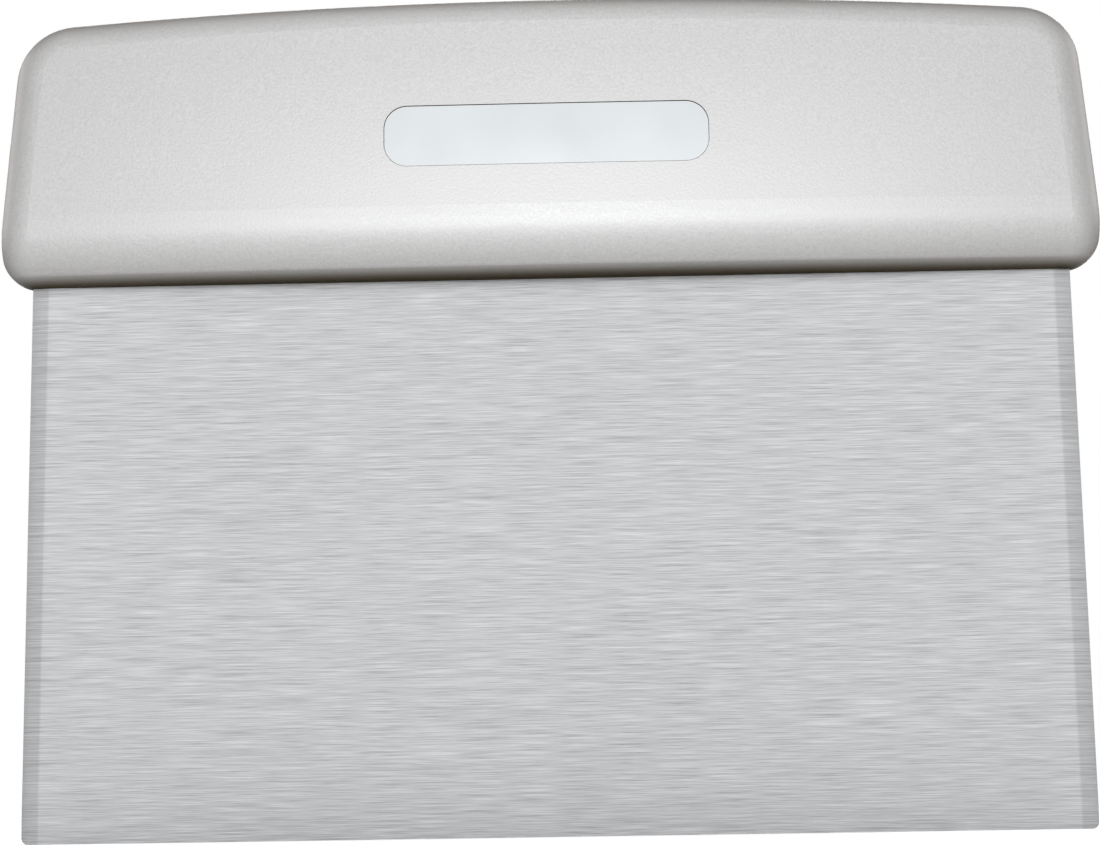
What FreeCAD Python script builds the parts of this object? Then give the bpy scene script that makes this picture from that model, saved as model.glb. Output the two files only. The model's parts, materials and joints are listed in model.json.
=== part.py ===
"""Bench scraper: a stainless blade with a plastic handle moulded over its tang.

Row frame, in millimetres: the origin is the middle of the scraping edge, +Z runs up the blade
to the handle, +X runs along the edge, and the face with the label looks along -Y.
"""
import FreeCAD, Part
import math
import os

import Sketcher

SIZES = [
    # blade
    ("blade_width", 152.4, "scraping edge, end to end: six inches"),
    ("blade_height", 80.7, "scraping edge to the handle's underside"),
    ("blade_thickness", 1.2, "sheet thickness"),
    ("blade_corner", 1.0, "radius that breaks the two corners of the scraping edge"),
    ("relief_width", 3.0, "rolled-off strip along each upright side of the blade"),
    ("relief_depth", 0.36, "how far that strip falls away at the very side"),
    ("relief_arc", 18.0, "radius of the strip's convex section"),
    ("grind_height", 14.0, "height of the thinned band above the scraping edge"),
    ("grind_depth", 0.2, "how far the band has thinned at the edge, on each face"),
    # tang, hidden inside the handle
    ("root_height", 6.0, "full-width stretch of blade inside the handle"),
    ("tang_width", 128.0, "narrower plate above the root"),
    ("tang_top", 105.0, "height of the tang's top edge"),
    ("tang_corner", 6.0, "radius of the tang's top corners"),
    ("plug_diameter", 8.0, "holes through the tang, filled by the handle's plastic"),
    ("plug_height", 96.0, "height of the row of holes"),
    ("plug_span", 96.0, "first hole to last hole, centre to centre"),
    ("plug_count", 5.0, "holes in the row"),
    # handle
    ("handle_width", 161.2, "widest place, end to end"),
    ("handle_top", 122.5, "height of the crowned top at the middle"),
    ("handle_thickness", 17.6, "thickest place, front to back, at the middle"),
    ("end_thinning", 2.0, "how much each face has drawn in there at the ends"),
    ("bulge_height", 90.0, "height of the thickest place"),
    ("top_thickness", 12.4, "front to back at the top of the middle, before rounding"),
    ("top_thinning", 0.4, "how much each face has drawn in there at the ends"),
    ("flank_arc", 20.0, "radius of the face just below the thickest place"),
    ("flank_turn", 5.0, "how far that arc turns the face downward, in degrees"),
    ("roll_arc", 9.3, "radius of the roll from there to the flat underside"),
    ("end_lean", 4.25, "lean of each end inward, in degrees"),
    ("bottom_corner", 5.0, "radius of the bottom corners, seen from the front"),
    ("top_corner", 9.0, "radius of the top corners, seen from the front"),
    ("crown_arc", 1030.0, "radius of the crowned top, seen from the front"),
    ("rim_round", 5.0, "rounding between the faces and the rim"),
    # label
    ("label_width", 47.0, "plate set into the front face"),
    ("label_height", 9.0, "its height"),
    ("label_corner", 3.3, "radius of its corners"),
    ("label_middle", 100.5, "height of its middle"),
    ("label_thickness", 0.6, "its thickness"),
    ("label_sink", 0.15, "how far its face lies below the handle's"),
    ("label_gap", 0.1, "gap between the plate and the wall of its recess"),
]

STATIONS = (-1.0, -0.5, 0.0, 0.5, 1.0)  # handle sections, as fractions of the loft's half length
LINE, BULGE, HOLLOW = "line", "bulge", "hollow"
HALF_BULGE = "Sizes.handle_thickness / 2"
LOFT_REACH = "(Sizes.handle_width / 2 + Sizes.rim_round)"  # past the ends, to be trimmed
LOFT_TOP = "(Sizes.handle_top + Sizes.rim_round)"
PLAN_ARC = f"pow({LOFT_REACH}; 2) / (2 * Sizes.end_thinning)"  # radius of the face in plan
NORMAL = FreeCAD.Vector(0, 0, 1)  # of every sketch, in its own frame
CLOSE = 1e-3  # near enough, in millimetres or as a part of one


def fill_sheet(document):
    """The driving dimensions, one row each: name, value and meaning."""
    sheet = document.addObject("Spreadsheet::Sheet", "Sizes")
    for row, (name, value, meaning) in enumerate(SIZES, start=1):
        sheet.set(f"A{row}", name)
        sheet.set(f"B{row}", str(value))
        sheet.setAlias(f"B{row}", name)
        sheet.set(f"C{row}", meaning)
    document.recompute()


def size(expression):
    """The number that an expression on the sheet gives now."""
    value = doc.Sizes.evalExpression(expression)
    return float(getattr(value, "Value", value))


def new_body(label):
    body = doc.addObject("PartDesign::Body", label)
    body.Label = label
    return body


def new_sketch(body, name, plane, offset=None):
    """A sketch on one of the body's origin planes, lifted off it by the offset expression."""
    sketch = body.newObject("Sketcher::SketchObject", name)
    support = [part for part in body.Origin.OriginFeatures if part.Role == plane][0]
    sketch.AttachmentSupport = [(support, "")]
    sketch.MapMode = "FlatFace"
    if offset:
        sketch.setExpression(".AttachmentOffset.Base.z", offset)
    return sketch


def bind(sketch, name, expression, *constraint):
    """Add a dimension whose value follows an expression on the sheet."""
    value = size(expression)
    index = sketch.addConstraint(Sketcher.Constraint(*constraint, value))
    sketch.renameConstraint(index, name)
    sketch.setExpression(f"Constraints.{name}", expression)


def arc_between(first, last, radius):
    """The short anticlockwise arc from first to last."""
    chord = last - first
    to_left = FreeCAD.Vector(-chord.y, chord.x, 0).normalize()
    centre = (first + last) / 2 + to_left * math.sqrt(radius ** 2 - (chord.Length / 2) ** 2)
    start, end = (math.atan2(spot.y - centre.y, spot.x - centre.x) for spot in (first, last))
    return Part.ArcOfCircle(Part.Circle(centre, NORMAL, radius), start, end)


def draw_loop(sketch, tag, corners):
    """Close an outline anticlockwise through its corners.

    A corner is (across, up, edge): two expressions for its place, and the edge from here to
    the next corner, which is LINE, or (BULGE, radius) or (HOLLOW, radius) for an arc that
    swells out of the outline or dips into it.
    """
    places = [FreeCAD.Vector(size(across), size(up), 0) for across, up, edge in corners]
    drawn = []
    for number, (across, up, edge) in enumerate(corners):
        here, there = places[number], places[(number + 1) % len(corners)]
        if edge == LINE:
            drawn.append((sketch.addGeometry(Part.LineSegment(here, there), False), 1, 2))
            continue
        kind, radius = edge
        if kind == BULGE:
            arc, first, last = arc_between(here, there, size(radius)), 1, 2
        else:
            arc, first, last = arc_between(there, here, size(radius)), 2, 1
        drawn.append((sketch.addGeometry(arc, False), first, last))
        bind(sketch, f"{tag}_{number}_radius", radius, "Radius", drawn[-1][0])
    for number, (across, up, edge) in enumerate(corners):
        geometry, first, last = drawn[number]
        before, before_first, before_last = drawn[number - 1]
        sketch.addConstraint(Sketcher.Constraint("Coincident", before, before_last, geometry, first))
        bind(sketch, f"{tag}_{number}_across", across, "DistanceX", -1, 1, geometry, first)
        bind(sketch, f"{tag}_{number}_up", up, "DistanceY", -1, 1, geometry, first)


def pad(body, sketch, name, length):
    """Extrude a sketch by half the length to each side of its plane."""
    feature = body.newObject("PartDesign::Pad", name)
    feature.Profile = sketch
    feature.SideType = "Symmetric"
    feature.setExpression("Length", length)
    doc.recompute()
    return feature


def pocket(body, sketch, name, length=None):
    """Cut a sketch's outline out on both sides of its plane, right through or for a length."""
    volume = body.Shape.Volume
    feature = body.newObject("PartDesign::Pocket", name)
    feature.Profile = sketch
    feature.SideType = "Symmetric"
    if length:
        feature.setExpression("Length", length)
    else:
        feature.Type = "ThroughAll"
    doc.recompute()
    if body.Shape.Volume >= volume:
        raise RuntimeError(f"{name} cut nothing")
    return feature


def fillet(body, name, radius, wanted):
    """Round the edges that wanted() picks from the body as it stands."""
    base = body.Tip
    names = [f"Edge{n}" for n, edge in enumerate(base.Shape.Edges, start=1) if wanted(edge)]
    feature = body.newObject("PartDesign::Fillet", name)
    feature.Base = (base, names)
    feature.setExpression("Radius", radius)
    doc.recompute()
    return feature


def middle(edge):
    return edge.valueAt((edge.FirstParameter + edge.LastParameter) / 2)


def runs_front_to_back(edge):
    """Whether an edge is straight and parallel to Y, or nearly so."""
    return edge.Curve.TypeId == "Part::GeomLine" and abs(edge.Curve.Direction.y) > 1 - CLOSE


def make_blade():
    """Sheet with rolled-off sides and a thinned scraping edge, and a holed tang above it."""
    body = new_body("blade")
    add_sheet(body)
    add_tang(body)
    cut_hole_row(body)
    thin_scraping_edge(body)
    fillet(body, "edge_corners", "Sizes.blade_corner",
           lambda edge: runs_front_to_back(edge) and middle(edge).z < CLOSE)
    return body


def add_sheet(body):
    """Upright plate whose level section falls away in a shallow arc at both sides."""
    side, face = "Sizes.blade_width / 2", "Sizes.blade_thickness / 2"
    inner = "(Sizes.blade_width / 2 - Sizes.relief_width)"
    thin = "(Sizes.blade_thickness / 2 - Sizes.relief_depth)"
    height = "(Sizes.blade_height + Sizes.root_height)"
    relief = (BULGE, "Sizes.relief_arc")
    sketch = new_sketch(body, "level_section", "XY_Plane", f"{height} / 2")
    draw_loop(sketch, "section", [
        (f"-{inner}", f"-{face}", LINE),
        (inner, f"-{face}", relief),
        (side, f"-{thin}", LINE),
        (side, thin, relief),
        (inner, face, LINE),
        (f"-{inner}", face, relief),
        (f"-{side}", thin, LINE),
        (f"-{side}", f"-{thin}", relief),
    ])
    pad(body, sketch, "sheet", height)


def add_tang(body):
    """Narrower plate above the root; it starts inside the root, so that the two are one."""
    side, start = "Sizes.tang_width / 2", "Sizes.blade_height + Sizes.root_height / 2"
    sketch = new_sketch(body, "tang_outline", "XZ_Plane")
    draw_loop(sketch, "tang", [
        (f"-{side}", start, LINE),
        (side, start, LINE),
        (side, "Sizes.tang_top", LINE),
        (f"-{side}", "Sizes.tang_top", LINE),
    ])
    pad(body, sketch, "tang", "Sizes.blade_thickness")
    fillet(body, "tang_corners", "Sizes.tang_corner",
           lambda edge: runs_front_to_back(edge) and middle(edge).z > size("Sizes.tang_top") - CLOSE)


def cut_hole_row(body):
    """Holes along the tang for the handle's plastic to run through."""
    across, up = "-Sizes.plug_span / 2", "Sizes.plug_height"
    sketch = new_sketch(body, "hole_outline", "XZ_Plane")
    centre = FreeCAD.Vector(size(across), size(up), 0)
    circle = sketch.addGeometry(Part.Circle(centre, NORMAL, size("Sizes.plug_diameter / 2")), False)
    bind(sketch, "across", across, "DistanceX", -1, 1, circle, 3)
    bind(sketch, "up", up, "DistanceY", -1, 1, circle, 3)
    bind(sketch, "bore", "Sizes.plug_diameter", "Diameter", circle)
    first = pocket(body, sketch, "first_hole")
    row = body.newObject("PartDesign::LinearPattern", "hole_row")
    row.Originals = [first]
    row.Direction = (sketch, ["H_Axis"])
    row.setExpression("Length", "Sizes.plug_span")
    row.setExpression("Occurrences", "Sizes.plug_count")
    body.Tip = row
    doc.recompute()


def thin_scraping_edge(body):
    """Both faces run in towards the edge along an arc that starts tangent to the flat face."""
    face, outside = "Sizes.blade_thickness / 2", "Sizes.blade_thickness"
    thin = "Sizes.blade_thickness / 2 - Sizes.grind_depth"
    radius = "(pow(Sizes.grind_height; 2) + pow(Sizes.grind_depth; 2)) / (2 * Sizes.grind_depth)"
    sketch = new_sketch(body, "edge_waste", "YZ_Plane")
    draw_loop(sketch, "waste", [
        (thin, "0", LINE),
        (outside, "0", LINE),
        (outside, "Sizes.grind_height", LINE),
        (face, "Sizes.grind_height", (HOLLOW, radius)),
    ])
    back = pocket(body, sketch, "thinned_back")
    both = body.newObject("PartDesign::Mirrored", "thinned_faces")
    both.Originals = [back]
    both.MirrorPlane = (sketch, ["V_Axis"])
    body.Tip = both
    doc.recompute()


def make_handle_form():
    """The handle's outer shape, still solid where the tang goes."""
    body = new_body("handle_form")
    loft = body.newObject("PartDesign::AdditiveLoft", "swelling_bar")
    sections = [add_bar_section(body, number, station) for number, station in enumerate(STATIONS)]
    loft.Profile = sections[0]
    loft.Sections = sections[1:]
    doc.recompute()

    outline = new_sketch(body, "front_outline", "XZ_Plane")
    draw_front_outline(outline)
    draw_loop(outline, "around", [
        ("-Sizes.handle_width", "0", LINE),
        ("Sizes.handle_width", "0", LINE),
        ("Sizes.handle_width", "2 * Sizes.handle_top", LINE),
        ("-Sizes.handle_width", "2 * Sizes.handle_top", LINE),
    ])
    pocket(body, outline, "front_trim")
    fillet(body, "rim", "Sizes.rim_round", on_rim)
    cut_recess(body)
    return body


def add_bar_section(body, number, station):
    """Upright section, drawn for the back and mirrored for the front.

    From the flat underside a tight roll leads to a short flank, which reaches the thickest
    place upright; a long arc leads from there past the top, which the front outline trims.
    """
    half = f"({HALF_BULGE} - Sizes.end_thinning * {station ** 2})"
    half_top = f"(Sizes.top_thickness / 2 - Sizes.top_thinning * {station ** 2})"
    face = (BULGE, face_arc(f"({half} - {half_top})"))
    turn = "Sizes.flank_turn * 1 deg"
    flank_across = f"({half} - Sizes.flank_arc * (1 - cos({turn})))"
    flank_up = f"(Sizes.bulge_height - Sizes.flank_arc * sin({turn}))"
    flank = (BULGE, "Sizes.flank_arc")
    roll_rise = f"({flank_up} + Sizes.roll_arc * sin({turn}) - Sizes.blade_height)"
    roll_across = f"({flank_across} - Sizes.roll_arc * cos({turn}))"
    lip = f"({roll_across} + sqrt(pow(Sizes.roll_arc; 2) - pow({roll_rise}; 2)))"
    roll = (BULGE, "Sizes.roll_arc")
    offset = f"{station} * {LOFT_REACH}"
    sketch = new_sketch(body, f"bar_section_{number}", "YZ_Plane", offset)
    draw_loop(sketch, "bar", [
        (f"-{lip}", "Sizes.blade_height", LINE),
        (lip, "Sizes.blade_height", roll),
        (flank_across, flank_up, flank),
        (half, "Sizes.bulge_height", face),
        (half_top, LOFT_TOP, LINE),
        (f"-{half_top}", LOFT_TOP, face),
        (f"-{half}", "Sizes.bulge_height", flank),
        (f"-{flank_across}", flank_up, roll),
    ])
    return sketch


def face_arc(draw_in):
    """Radius of the arc that starts upright at the thickest place and has drawn in by the top."""
    rise = f"({LOFT_TOP} - Sizes.bulge_height)"
    return f"((pow({rise}; 2) + pow({draw_in}; 2)) / (2 * {draw_in}))"


def draw_front_outline(sketch):
    """Front view: flat underside, leaning ends, crowned top, every corner rounded and tangent.

    The outline is first drawn near its place, and the dimensions at the end then settle it.
    """
    low, high = size("Sizes.bottom_corner"), size("Sizes.top_corner")
    lean = math.radians(size("Sizes.end_lean"))
    across = size("Sizes.handle_width / 2") - low
    low_up, high_up = size("Sizes.blade_height") + low, size("Sizes.handle_top") - high
    crown, crown_up = size("Sizes.crown_arc"), size("Sizes.handle_top - Sizes.crown_arc")
    high_across = across + low - high - (high_up - low_up) * math.tan(lean)
    crown_lean = math.asin(high_across / crown)

    def arc(x, y, radius, start, end):
        circle = Part.Circle(FreeCAD.Vector(x, y, 0), NORMAL, radius)
        return sketch.addGeometry(Part.ArcOfCircle(circle, start, end), False)

    def line(x1, y1, x2, y2):
        ends = FreeCAD.Vector(x1, y1, 0), FreeCAD.Vector(x2, y2, 0)
        return sketch.addGeometry(Part.LineSegment(*ends), False)

    quarter, half_turn = math.pi / 2, math.pi
    underside = line(-across, low_up - low, across, low_up - low)
    right_low = arc(across, low_up, low, -quarter, lean)
    right_end = line(across + low, low_up, high_across + high, high_up)
    right_high = arc(high_across, high_up, high, lean, quarter - crown_lean)
    top = arc(0, crown_up, crown, quarter - crown_lean, quarter + crown_lean)
    left_high = arc(-high_across, high_up, high, quarter + crown_lean, half_turn - lean)
    left_end = line(-high_across - high, high_up, -across - low, low_up)
    left_low = arc(-across, low_up, low, half_turn - lean, 3 * quarter)

    chain = [underside, right_low, right_end, right_high, top, left_high, left_end, left_low]
    for edge, following in zip(chain, chain[1:] + chain[:1]):
        sketch.addConstraint(Sketcher.Constraint("Tangent", edge, 2, following, 1))
    sketch.addConstraint(Sketcher.Constraint("Horizontal", underside))
    sketch.addConstraint(Sketcher.Constraint("PointOnObject", top, 3, -2))
    bind(sketch, "underside_up", "Sizes.blade_height", "DistanceY", -1, 1, underside, 1)
    bind(sketch, "crown_up", "Sizes.handle_top - Sizes.crown_arc", "DistanceY", -1, 1, top, 3)
    bind(sketch, "crown", "Sizes.crown_arc", "Radius", top)
    for side, sign, low_arc, high_arc, end in (
        ("right", 1, right_low, right_high, right_end),
        ("left", -1, left_low, left_high, left_end),
    ):
        reach = f"{sign} * (Sizes.handle_width / 2 - Sizes.bottom_corner)"
        bind(sketch, f"{side}_low", "Sizes.bottom_corner", "Radius", low_arc)
        bind(sketch, f"{side}_high", "Sizes.top_corner", "Radius", high_arc)
        bind(sketch, f"{side}_reach", reach, "DistanceX", -1, 1, low_arc, 3)
        bind_angle(sketch, f"{side}_lean", f"{sign} * (90 + Sizes.end_lean)", end)


def bind_angle(sketch, name, degrees, line):
    """Hold a line at an angle to the sketch's first axis."""
    radians = math.radians(size(degrees))
    index = sketch.addConstraint(Sketcher.Constraint("Angle", line, radians))
    sketch.renameConstraint(index, name)
    sketch.setExpression(f"Constraints.{name}", f"{degrees} * 1 deg")


def on_rim(edge):
    """Edges where the front and back faces meet the ends and the crowned top."""
    spot = middle(edge)
    at_end = abs(spot.x) > size("Sizes.handle_width / 2 - Sizes.bottom_corner")
    at_top = spot.z > size("Sizes.handle_top - Sizes.top_corner")
    return (at_end or at_top) and not runs_front_to_back(edge)


def sunk_face(depth):
    """Radius of the front face's arc at the middle, moved into the handle by depth."""
    return f"({face_arc(f'({HALF_BULGE} - Sizes.top_thickness / 2)')} - {depth})"


def across_at(radius, up):
    """Where an arc that is upright at the thickest place's height crosses another height."""
    centre = f"({sunk_face('0')} - {HALF_BULGE})"
    return f"({centre} - sqrt(pow({radius}; 2) - pow({up} - Sizes.bulge_height; 2)))"


def draw_plan_axis(sketch):
    """Upright line that the front face swings about in plan, far behind the handle."""
    across = f"{PLAN_ARC} - {HALF_BULGE}"
    place = size(across)
    ends = FreeCAD.Vector(place, 0, 0), FreeCAD.Vector(place, size("Sizes.handle_top"), 0)
    line = sketch.addGeometry(Part.LineSegment(*ends), True)
    sketch.addConstraint(Sketcher.Constraint("Vertical", line))
    bind(sketch, "axis_across", across, "DistanceX", -1, 1, line, 1)
    bind(sketch, "axis_low", "0", "DistanceY", -1, 1, line, 1)
    bind(sketch, "axis_high", "Sizes.handle_top", "DistanceY", -1, 1, line, 2)


def swing(body, kind, name, sketch, width):
    """Turn a section about the plan axis, to both sides, until it is as wide as asked."""
    feature = body.newObject(kind, name)
    feature.Profile = sketch
    feature.ReferenceAxis = (sketch, ["Axis0"])
    feature.Midplane = True
    feature.setExpression("Angle", f"({width}) / ({PLAN_ARC}) * 1 rad")
    doc.recompute()
    return feature


def cut_recess(body):
    """Shallow pocket in the front face, a little larger than the label and with its floor."""
    volume = body.Shape.Volume
    floor = sunk_face("(Sizes.label_sink + Sizes.label_thickness)")
    half = "(Sizes.label_height / 2 + Sizes.label_gap)"
    low, high = f"(Sizes.label_middle - {half})", f"(Sizes.label_middle + {half})"
    sketch = new_sketch(body, "recess_section", "YZ_Plane")
    draw_plan_axis(sketch)
    draw_loop(sketch, "recess", [
        ("-Sizes.handle_thickness", low, LINE),
        (across_at(floor, low), low, (HOLLOW, floor)),
        (across_at(floor, high), high, LINE),
        ("-Sizes.handle_thickness", high, LINE),
    ])
    swing(body, "PartDesign::Groove", "label_recess", sketch, "Sizes.label_width + 2 * Sizes.label_gap")
    if body.Shape.Volume >= volume:
        raise RuntimeError("label_recess cut nothing")
    fillet(body, "recess_corners", "Sizes.label_corner + Sizes.label_gap",
           lambda edge: runs_front_to_back(edge) and abs(middle(edge).x) < size("Sizes.label_width"))


def make_label():
    """Thin plate, bent to the front face in plan and in section, with rounded corners."""
    body = new_body("blank_label")
    outer = sunk_face("Sizes.label_sink")
    inner = sunk_face("(Sizes.label_sink + Sizes.label_thickness)")
    low = "(Sizes.label_middle - Sizes.label_height / 2)"
    high = "(Sizes.label_middle + Sizes.label_height / 2)"
    sketch = new_sketch(body, "plate_section", "YZ_Plane")
    draw_plan_axis(sketch)
    draw_loop(sketch, "plate", [
        (across_at(outer, low), low, LINE),
        (across_at(inner, low), low, (HOLLOW, inner)),
        (across_at(inner, high), high, LINE),
        (across_at(outer, high), high, (BULGE, outer)),
    ])
    swing(body, "PartDesign::Revolution", "plate", sketch, "Sizes.label_width")
    fillet(body, "plate_corners", "Sizes.label_corner", runs_front_to_back)
    return body


def mould_handle(form, blade):
    """The plastic fills everything in the form that the blade leaves, tang holes too."""
    handle = doc.addObject("Part::Cut", "handle")
    handle.Label = "handle"
    handle.Base = form
    handle.Tool = blade
    doc.recompute()
    return handle


def check(sub_parts):
    """Stop before anything is written if a feature failed or a shape is unusable."""
    failed = [item.Name for item in doc.Objects if {"Invalid", "Error"} & set(item.State)]
    if failed:
        raise RuntimeError(f"failed features: {failed}")
    for item in sub_parts:
        if item.Shape.isNull() or not item.Shape.isValid() or len(item.Shape.Solids) != 1:
            raise RuntimeError(f"{item.Label} is not one sound solid")


doc = FreeCAD.newDocument("BenchScraper")
fill_sheet(doc)
blade = make_blade()
label = make_label()
handle = mould_handle(make_handle_form(), blade)
sub_parts = [blade, handle, label]
check(sub_parts)
os.makedirs("parts", exist_ok=True)
for item in sub_parts:
    item.Shape.exportStep(f"parts/{item.Label}.step")
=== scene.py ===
"""Bench scraper: materials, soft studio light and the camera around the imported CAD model."""
import json
import math

import bpy
from mathutils import Matrix, Vector

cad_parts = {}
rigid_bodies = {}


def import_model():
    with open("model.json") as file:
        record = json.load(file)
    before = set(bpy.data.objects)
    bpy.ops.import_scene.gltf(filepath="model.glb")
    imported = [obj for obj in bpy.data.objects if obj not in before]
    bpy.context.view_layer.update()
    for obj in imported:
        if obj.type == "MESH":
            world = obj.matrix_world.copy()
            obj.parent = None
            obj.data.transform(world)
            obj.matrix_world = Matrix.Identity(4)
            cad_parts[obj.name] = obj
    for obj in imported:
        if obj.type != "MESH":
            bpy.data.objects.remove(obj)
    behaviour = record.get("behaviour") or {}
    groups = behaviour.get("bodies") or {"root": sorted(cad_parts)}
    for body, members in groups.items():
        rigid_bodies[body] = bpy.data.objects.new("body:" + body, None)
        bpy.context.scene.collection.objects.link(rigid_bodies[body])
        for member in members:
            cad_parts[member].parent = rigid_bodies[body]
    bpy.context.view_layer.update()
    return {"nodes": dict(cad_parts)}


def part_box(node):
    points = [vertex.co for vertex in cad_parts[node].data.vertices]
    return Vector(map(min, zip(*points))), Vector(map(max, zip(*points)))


for leftover in list(bpy.data.objects):
    bpy.data.objects.remove(leftover)
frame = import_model()

MM = 0.001
NOISE_SPAN = (0.3, 0.7)
nodes = frame["nodes"]
scene = bpy.context.scene

# Blade: the size of the brushed scratches, and the strip of painted shade along each side
SCRATCH = (7 * MM, 7 * MM, 0.09 * MM)
SCRATCH_DEPTH = 0.004 * MM
LONG_SCRATCH = (30 * MM, 30 * MM, 0.3 * MM)
LONG_SHARE = 0.22
STEEL_DARK = 0.44
STEEL_LIGHT = 0.89
STEEL_TINT = (0.99, 1.02)
STRIP_WIDTH = 2.4 * MM
STRIP_BLUR = 0.2 * MM
STRIP_SHADE = 0.82

# Handle: the plastic's grain, its colours, and the painted shade that darkens it at the rim, in the
# corner with the blade and under the lip
GRAIN = 0.36 * MM
GRAIN_DEPTH = 0.03 * MM
CLOUD = 14 * MM
CLOUD_SHARE = 0.08
PLASTIC_DARK = (0.381, 0.369, 0.358, 1.0)
PLASTIC_LIGHT = (0.453, 0.439, 0.425, 1.0)
PLASTIC_CLOUD = (0.33, 0.32, 0.31, 1.0)
PAINTED_RIM_SHADE = (0.31, 0.28, 0.255, 1.0)
RIM_TURN = (0.3, 0.9)
CORNER_SHADE_COLOUR = (0.20, 0.165, 0.13, 1.0)
CORNER_REACH = 8 * MM
CORNER_OPENING = (0.55, 1.0)
FACING_DOWN = (-0.75, -0.35)
LIP_SHADOW_COLOUR = (0.095, 0.08, 0.055, 1.0)
LIP_SHADE = 1.4 * MM

# Label
WAVE = 9 * MM
LABEL_DARK = (0.475, 0.487, 0.487, 1.0)
LABEL_LIGHT = (0.49, 0.502, 0.502, 1.0)

# Light and camera
AIM = Vector((0.0, 0.0, 0.09))
COOL = (0.975, 1.0, 1.03)
CAMERA_PLACE = Vector((5.6, -330.0, 4.0)) * MM
CAMERA_TURNS = (1.017, 9.44, -0.895)
LENS = 75.24


# Node helpers

class Graph:
    """A material's node tree, with short calls for the nodes used here."""

    def __init__(self, name):
        self.material = bpy.data.materials.new(name)
        self.material.use_nodes = True
        self.tree = self.material.node_tree
        self.tree.nodes.clear()
        self.shader = self.node("ShaderNodeBsdfPrincipled")
        output = self.node("ShaderNodeOutputMaterial")
        self.tree.links.new(self.shader.outputs["BSDF"], output.inputs["Surface"])
        self.place = self.node("ShaderNodeTexCoord").outputs["Object"]

    def node(self, kind, **settings):
        made = self.tree.nodes.new(kind)
        for name, value in settings.items():
            setattr(made, name, value)
        return made

    def fill(self, socket, value):
        """Link an output to a socket, or set the socket's own value."""
        if isinstance(value, bpy.types.NodeSocket):
            self.tree.links.new(value, socket)
        else:
            socket.default_value = value

    def surface(self, **inputs):
        for name, value in inputs.items():
            self.fill(self.shader.inputs[name.replace("_", " ")], value)

    def noise(self, cell, detail=2.0, roughness=0.5):
        """Noise between 0 and 1 whose cells measure cell = (x, y, z), in metres."""
        mapping = self.node("ShaderNodeMapping")
        self.fill(mapping.inputs["Vector"], self.place)
        self.fill(mapping.inputs["Scale"], [1 / side for side in cell])
        noise = self.node("ShaderNodeTexNoise")
        self.fill(noise.inputs["Vector"], mapping.outputs["Vector"])
        self.fill(noise.inputs["Scale"], 1.0)
        self.fill(noise.inputs["Detail"], detail)
        self.fill(noise.inputs["Roughness"], roughness)
        return noise.outputs["Fac"]

    def across(self, axis, vector=None):
        """One coordinate of a vector, or of the point being shaded."""
        apart = self.node("ShaderNodeSeparateXYZ")
        self.fill(apart.inputs["Vector"], vector or self.place)
        return apart.outputs[axis]

    def math(self, operation, first, second=0.0):
        node = self.node("ShaderNodeMath", operation=operation)
        self.fill(node.inputs[0], first)
        self.fill(node.inputs[1], second)
        return node.outputs[0]

    def spread(self, value, low, high, low_out=0.0, high_out=1.0):
        """Stretch low..high to low_out..high_out, held at both ends."""
        node = self.node("ShaderNodeMapRange")
        self.fill(node.inputs["Value"], value)
        self.fill(node.inputs["From Min"], low)
        self.fill(node.inputs["From Max"], high)
        self.fill(node.inputs["To Min"], low_out)
        self.fill(node.inputs["To Max"], high_out)
        return node.outputs["Result"]

    def mix(self, factor, first, second):
        """The first colour where the factor is 0, and the second where it is 1."""
        node = self.node("ShaderNodeMix", data_type="RGBA")
        self.fill(node.inputs["Factor"], factor)
        self.fill(node.inputs["A"], first)
        self.fill(node.inputs["B"], second)
        return node.outputs["Result"]

    def bump(self, height, depth):
        """A relief of the given depth, in metres."""
        node = self.node("ShaderNodeBump")
        self.fill(node.inputs["Height"], height)
        self.fill(node.inputs["Distance"], depth)
        self.fill(node.inputs["Strength"], 1.0)
        return node.outputs["Normal"]


def grey(level, red=1.0, blue=1.0):
    return (level * red, level, level * blue, 1.0)


# Materials

def brushed_steel():
    """Fine level scratches that stretch the highlights up and down the blade."""
    graph = Graph("brushed_steel")
    short = graph.noise(SCRATCH, detail=3.0, roughness=0.6)
    long = graph.noise(LONG_SCRATCH, detail=2.0)
    scratches = graph.math("ADD", graph.math("MULTIPLY", short, 1 - LONG_SHARE),
                           graph.math("MULTIPLY", long, LONG_SHARE))
    colour = graph.mix(graph.spread(scratches, 0.35, 0.65),
                       grey(STEEL_DARK, *STEEL_TINT), grey(STEEL_LIGHT, *STEEL_TINT))

    # Painted shade: a darker strip along each side stands in for the dimmer reflection along the
    # blade's edges
    blade_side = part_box("blade")[1].x
    inward = graph.math("SUBTRACT", blade_side, graph.math("ABSOLUTE", graph.across("X")))
    painted_edge_shade = graph.spread(inward, STRIP_WIDTH - STRIP_BLUR, STRIP_WIDTH + STRIP_BLUR,
                         STRIP_SHADE, 1.0)
    colour = graph.mix(painted_edge_shade, grey(0.0), colour)

    upright = graph.node("ShaderNodeCombineXYZ")
    graph.fill(upright.inputs["Z"], 1.0)
    graph.surface(Base_Color=colour, Metallic=1.0, Anisotropic=0.8, Tangent=upright.outputs[0],
                  Roughness=graph.spread(scratches, *NOISE_SPAN, 0.26, 0.38),
                  Normal=graph.bump(scratches, SCRATCH_DEPTH))
    return graph.material


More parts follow.
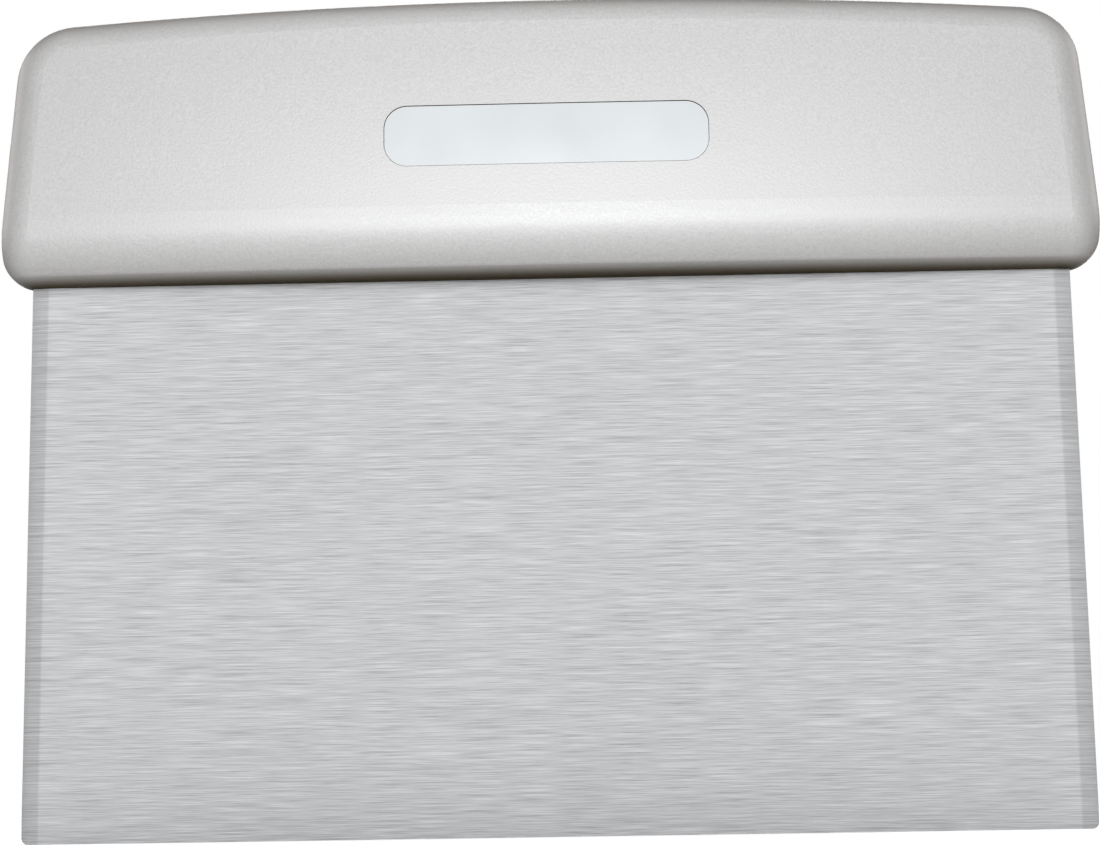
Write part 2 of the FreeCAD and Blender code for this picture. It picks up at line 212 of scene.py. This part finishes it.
def handle_plastic():
    """Off-white polypropylene with a fine moulded grain; painted shade darkens the rim, the corner
    with the blade and the underside under the lip.
    """
    graph = Graph("handle_plastic")
    grain = graph.noise((GRAIN,) * 3, detail=3.0, roughness=0.55)
    cloud = graph.noise((CLOUD,) * 3, detail=2.0)
    colour = graph.mix(graph.spread(grain, *NOISE_SPAN), PLASTIC_DARK, PLASTIC_LIGHT)
    colour = graph.mix(graph.math("MULTIPLY", cloud, CLOUD_SHARE), colour, PLASTIC_CLOUD)
    # Painted shade: where the surface turns away from the camera, the rim is mixed toward a darker
    # warm colour
    rim_shade = graph.spread(graph.node("ShaderNodeLayerWeight").outputs["Facing"], *RIM_TURN)
    colour = graph.mix(rim_shade, colour, PAINTED_RIM_SHADE)

    # Painted shade: only surfaces that face down darken in the corner with the blade, and lose their
    # specular there
    point = graph.node("ShaderNodeNewGeometry").outputs
    corner = graph.node("ShaderNodeAmbientOcclusion", samples=8)
    graph.fill(corner.inputs["Distance"], CORNER_REACH)
    open_air = graph.spread(corner.outputs["AO"], *CORNER_OPENING)
    upward = graph.spread(graph.across("Z", point["Normal"]), *FACING_DOWN)
    lit = graph.math("MAXIMUM", open_air, upward)
    colour = graph.mix(lit, CORNER_SHADE_COLOUR, colour)

    # Painted shadow: the underside within LIP_SHADE of the handle's lowest point is mixed toward a
    # near-black colour and loses its specular
    handle_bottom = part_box("handle")[0].z
    height = graph.math("SUBTRACT", graph.across("Z", point["Position"]), handle_bottom)
    above_lip = graph.spread(height, 0.0, LIP_SHADE)
    colour = graph.mix(above_lip, LIP_SHADOW_COLOUR, colour)
    graph.surface(Base_Color=colour, Roughness=graph.spread(grain, *NOISE_SPAN, 0.44, 0.56),
                  Specular_IOR_Level=graph.math("MULTIPLY", lit, above_lip),
                  Normal=graph.bump(grain, GRAIN_DEPTH))
    return graph.material


def label_plastic():
    """Smooth, slightly cool white."""
    graph = Graph("label_plastic")
    wave = graph.noise((WAVE,) * 3, detail=1.0)
    graph.surface(Base_Color=graph.mix(wave, LABEL_DARK, LABEL_LIGHT),
                  Roughness=graph.spread(wave, *NOISE_SPAN, 0.26, 0.34))
    return graph.material


def floor_paint(seen=0.85, mirrored=0.45, bounced=0.08):
    """Looks white and is seen in the blade, but lights the tool's underside very little."""
    graph = Graph("floor")
    ray = graph.node("ShaderNodeLightPath").outputs
    unseen = graph.mix(ray["Is Glossy Ray"], grey(bounced), grey(mirrored))
    graph.surface(Base_Color=graph.mix(ray["Is Camera Ray"], unseen, grey(seen)), Roughness=0.9,
                  Specular_IOR_Level=0.1)
    return graph.material


def wear(node, material):
    nodes[node].material_slots[0].material = material


# Stage

def make_floor(half_side=0.8):
    mesh = bpy.data.meshes.new("floor")
    corners = [(-half_side, -half_side, 0), (half_side, -half_side, 0),
               (half_side, half_side, 0), (-half_side, half_side, 0)]
    mesh.from_pydata(corners, [], [(0, 1, 2, 3)])
    floor = bpy.data.objects.new("floor", mesh)
    floor.data.materials.append(floor_paint())
    scene.collection.objects.link(floor)
    return floor


def make_world(seen=1.0, lit=0.12):
    """A white surround: bright where the camera sees it, dim as a light."""
    world = bpy.data.worlds.new("surround")
    scene.world = world
    world.use_nodes = True
    tree = world.node_tree
    background = tree.nodes["Background"]
    background.inputs["Color"].default_value = grey(1.0)
    path = tree.nodes.new("ShaderNodeLightPath")
    strength = tree.nodes.new("ShaderNodeMapRange")
    strength.inputs["To Min"].default_value = lit
    strength.inputs["To Max"].default_value = seen
    tree.links.new(path.outputs["Is Camera Ray"], strength.inputs["Value"])
    tree.links.new(strength.outputs["Result"], background.inputs["Strength"])


def group(name, *objects):
    """A collection that only tells a light what it falls on."""
    made = bpy.data.collections.new(name)
    for item in objects:
        made.objects.link(item)
    return made


def make_panel(name, angles, distance, size, power, lit=None, tint=(1, 1, 1)):
    """A soft panel light that faces the tool. Its angles are an azimuth, with 0 in front, and
    an elevation. It lights the group called lit, or everything."""
    light = bpy.data.lights.new(name, "AREA")
    light.shape = "RECTANGLE"
    light.size, light.size_y = size
    light.energy = power
    light.color = tint
    panel = bpy.data.objects.new(name, light)
    turn, rise = (math.radians(angle) for angle in angles)
    back = Vector((math.sin(turn) * math.cos(rise), -math.cos(turn) * math.cos(rise), math.sin(rise)))
    panel.location = AIM + back * distance
    panel.rotation_euler = (-back).to_track_quat("-Z", "Y").to_euler()
    panel.visible_camera = False
    scene.collection.objects.link(panel)
    if lit:
        panel.light_linking.receiver_collection = lit


def make_camera():
    """Low in front of the tool and looking up at it, near enough for the handle to loom."""
    data = bpy.data.cameras.new("camera")
    data.sensor_width = 36.0
    data.lens = LENS
    data.clip_start = 0.01
    data.clip_end = 20.0
    camera = bpy.data.objects.new("camera", data)
    turn, rise, roll = (math.radians(angle) for angle in CAMERA_TURNS)
    camera.matrix_world = (
        Matrix.Translation(CAMERA_PLACE)
        @ Matrix.Rotation(turn, 4, "Z")
        @ Matrix.Rotation(math.pi / 2 + rise, 4, "X")
        @ Matrix.Rotation(roll, 4, "Z")
    )
    scene.collection.objects.link(camera)
    scene.camera = camera


wear("blade", brushed_steel())
wear("handle", handle_plastic())
wear("blank_label", label_plastic())

floor = make_floor()
plastics = group("plastics", nodes["handle"], nodes["blank_label"])
metal = group("metal", nodes["blade"])
ground = group("ground", floor)

make_world()
make_panel("key", (0, 0), 0.50, (0.35, 0.25), 1.92, plastics, COOL)
make_panel("spot", (0, 0), 0.25, (0.10, 0.10), 0.49, plastics, COOL)
make_panel("box", (0, 8), 0.60, (1.10, 0.90), 2.75, metal)
for side, azimuth in (("left", -115), ("right", 115)):
    make_panel(side, (azimuth, 20), 0.90, (0.50, 0.50), 2.4)
make_panel("back", (180, 20), 0.80, (0.80, 0.50), 8.0, plastics)
make_panel("back_box", (180, 25), 0.80, (0.80, 0.50), 1.8, metal)
make_panel("floor_light", (0, 80), 1.60, (2.00, 2.00), 60.0, ground)
make_camera()
scene.view_settings.view_transform = "Standard"
